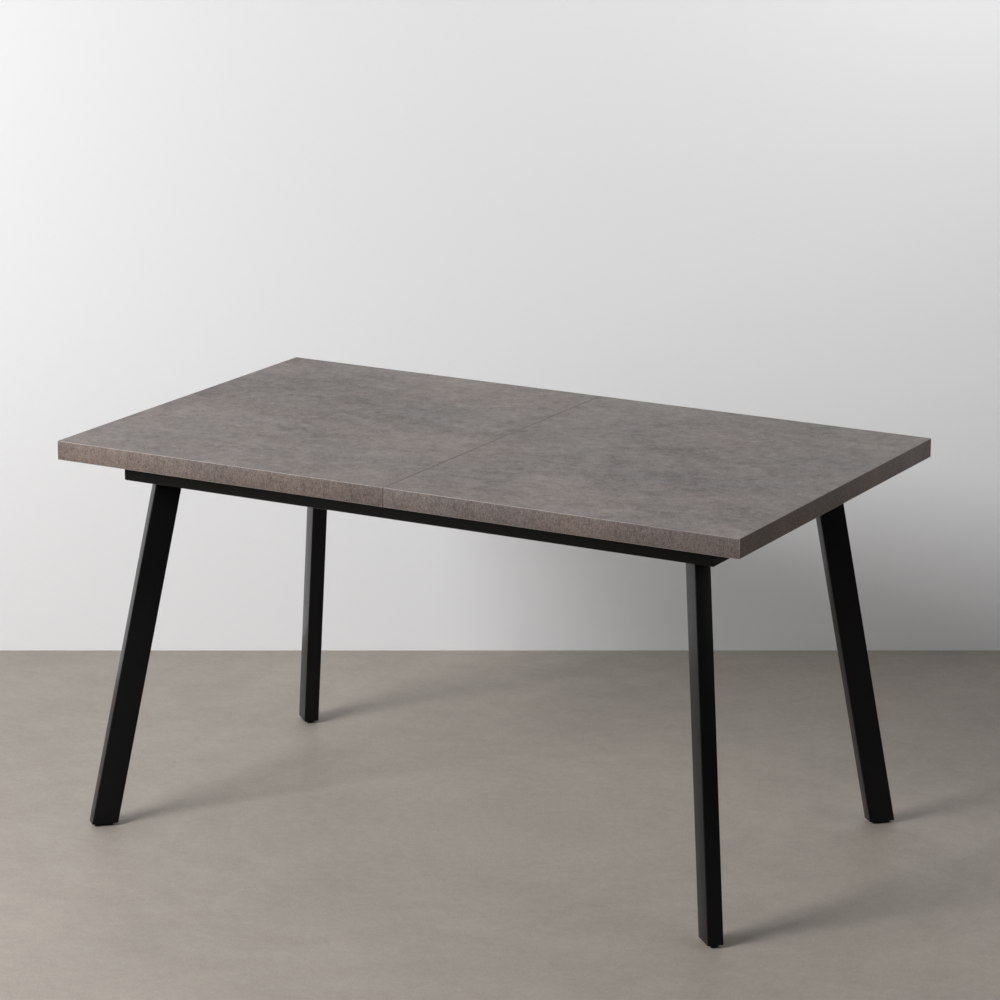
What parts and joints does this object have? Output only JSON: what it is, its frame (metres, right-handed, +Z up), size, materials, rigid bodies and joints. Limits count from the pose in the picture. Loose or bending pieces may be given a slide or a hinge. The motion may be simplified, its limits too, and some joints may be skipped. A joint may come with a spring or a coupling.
{
  "type": "extendable dining table",
  "caption": "Rectangular dining table whose two half tops slide apart on a black steel frame with splayed legs, to make room for a folded leaf kept inside.",
  "frame": {"origin": "centre of the closed table's outline, on the floor", "axes": "+X along the table's length to the right half top, +Y to the back, +Z up"},
  "size_m": [1.4, 0.855, 0.758],
  "materials": {
    "laminate_board": "matt grey concrete-look laminate on chipboard",
    "edge_band": "matt grey-brown edge band with fine speckle",
    "black_steel": "black powder coat, satin",
    "black_plastic": "black moulded plastic",
    "zinc_steel": "zinc-plated sheet steel",
    "aluminium_profile": "plain extruded aluminium",
    "nylon": "off-white nylon",
    "beech": "plain beech"
  },
  "bodies": {
    "base": {"frame_rail_front": "black_steel", "frame_rail_back": "black_steel", "frame_rail_left": "black_steel", "frame_rail_right": "black_steel", "leg_plate_front_left": "black_steel", "leg_plate_front_right": "black_steel", "leg_plate_back_left": "black_steel", "leg_plate_back_right": "black_steel", "leg_front_left": "black_steel", "leg_front_right": "black_steel", "leg_back_left": "black_steel", "leg_back_right": "black_steel", "foot_pad_front_left": "black_plastic", "foot_pad_front_right": "black_plastic", "foot_pad_back_left": "black_plastic", "foot_pad_back_right": "black_plastic", "leaf_bar_left": "black_steel", "leaf_bar_right": "black_steel", "leaf_lower_half": "laminate_board", "leaf_upper_half": "laminate_board", "leaf_dowel_lower": "beech", "leaf_dowel_upper": "beech", "leaf_hinge_lower": "zinc_steel", "leaf_hinge_upper": "zinc_steel", "leaf_hinge_pin": "zinc_steel", "runner_channel_front": "zinc_steel", "runner_channel_back": "zinc_steel", "glide_strip_left": "nylon", "glide_strip_right": "nylon"},
    "left_top": {"top_board_left": "laminate_board", "edge_band_left_front": "edge_band", "edge_band_left_back": "edge_band", "edge_band_left_end": "edge_band", "edge_band_left_seam": "edge_band", "runner_slide_front_left": "aluminium_profile", "runner_slide_back_left": "aluminium_profile", "glider_front_left_inner": "nylon", "glider_front_left_outer": "nylon", "glider_back_left_inner": "nylon", "glider_back_left_outer": "nylon", "top_dowel_front": "beech", "top_dowel_back": "beech", "catch_base_front": "zinc_steel", "catch_base_back": "zinc_steel"},
    "right_top": {"top_board_right": "laminate_board", "edge_band_right_front": "edge_band", "edge_band_right_back": "edge_band", "edge_band_right_end": "edge_band", "edge_band_right_seam": "edge_band", "runner_slide_front_right": "aluminium_profile", "runner_slide_back_right": "aluminium_profile", "glider_front_right_inner": "nylon", "glider_front_right_outer": "nylon", "glider_back_right_inner": "nylon", "glider_back_right_outer": "nylon", "catch_keeper_front": "zinc_steel", "catch_keeper_back": "zinc_steel"},
    "catch_lever_front": {"catch_lever_front": "black_plastic"},
    "catch_lever_back": {"catch_lever_back": "black_plastic"}
  },
  "joints": [
    {"name": "left_top_slide", "type": "slide", "parent": "base", "child": "left_top", "axis": [-1, 0, 0], "range_m": [0, 0.2]},
    {"name": "right_top_slide", "type": "slide", "parent": "base", "child": "right_top", "axis": [1, 0, 0], "range_m": [0, 0.2]},
    {"name": "front_catch_turn", "type": "hinge", "parent": "left_top", "child": "catch_lever_front", "pos_m": [-0.02, -0.241, 0.718], "axis": [0, 0, 1], "range_deg": [0, 90]},
    {"name": "back_catch_turn", "type": "hinge", "parent": "left_top", "child": "catch_lever_back", "pos_m": [-0.02, 0.241, 0.718], "axis": [0, 0, -1], "range_deg": [0, 90]}
  ]
}
